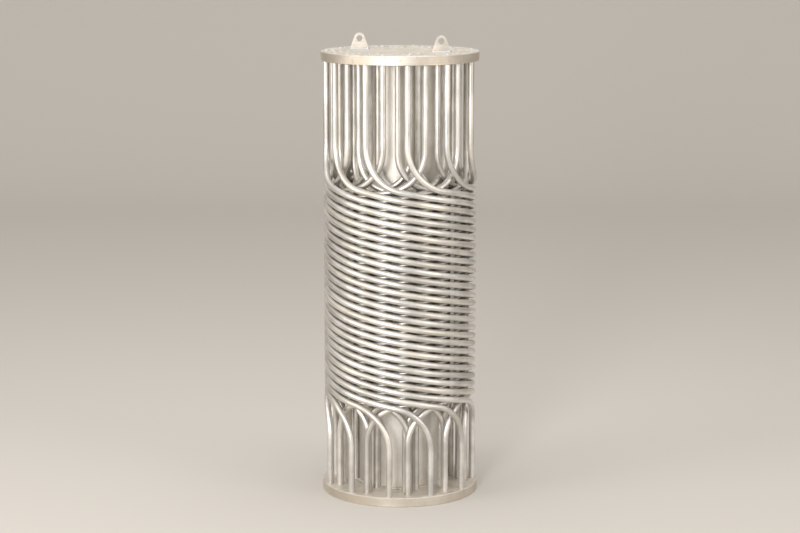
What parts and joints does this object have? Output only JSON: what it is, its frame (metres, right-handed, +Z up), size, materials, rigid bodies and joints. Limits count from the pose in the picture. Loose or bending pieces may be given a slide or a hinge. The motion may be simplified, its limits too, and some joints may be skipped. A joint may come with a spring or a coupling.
{
  "type": "spiral heat exchanger tube bundle",
  "caption": "Upright spiral-wound heat exchanger bundle: layers of bright steel tubes coiled around a core pipe between two round tubesheets.",
  "frame": {"origin": "centre of the lower tubesheet's outer face, on the floor", "axes": "+Z up the core pipe; +X to the right and -Y towards the viewer of the picture"},
  "size_m": [0.4079, 0.408, 1.197],
  "materials": {
    "tube_steel": "drawn stainless tube, satin",
    "sheet_steel": "faced plate, turned rim",
    "core_steel": "mill finish pipe",
    "strip_steel": "cold rolled strip",
    "lug_steel": "cut plate"
  },
  "bodies": {
    "root": {"lower_tubesheet": "sheet_steel", "upper_tubesheet": "sheet_steel", "core_pipe": "core_steel", "outer_tube_1": "tube_steel", "outer_tube_2": "tube_steel", "outer_tube_3": "tube_steel", "outer_tube_4": "tube_steel", "outer_tube_5": "tube_steel", "outer_tube_6": "tube_steel", "outer_tube_7": "tube_steel", "outer_tube_8": "tube_steel", "outer_tube_9": "tube_steel", "outer_tube_10": "tube_steel", "outer_tube_11": "tube_steel", "second_layer_tubes": "tube_steel", "third_layer_tubes": "tube_steel", "fourth_layer_tubes": "tube_steel", "innermost_layer_tubes": "tube_steel", "outer_layer_strips": "strip_steel", "second_layer_strips": "strip_steel", "third_layer_strips": "strip_steel", "fourth_layer_strips": "strip_steel", "left_lifting_lug": "lug_steel", "right_lifting_lug": "lug_steel"}
  },
  "joints": []
}
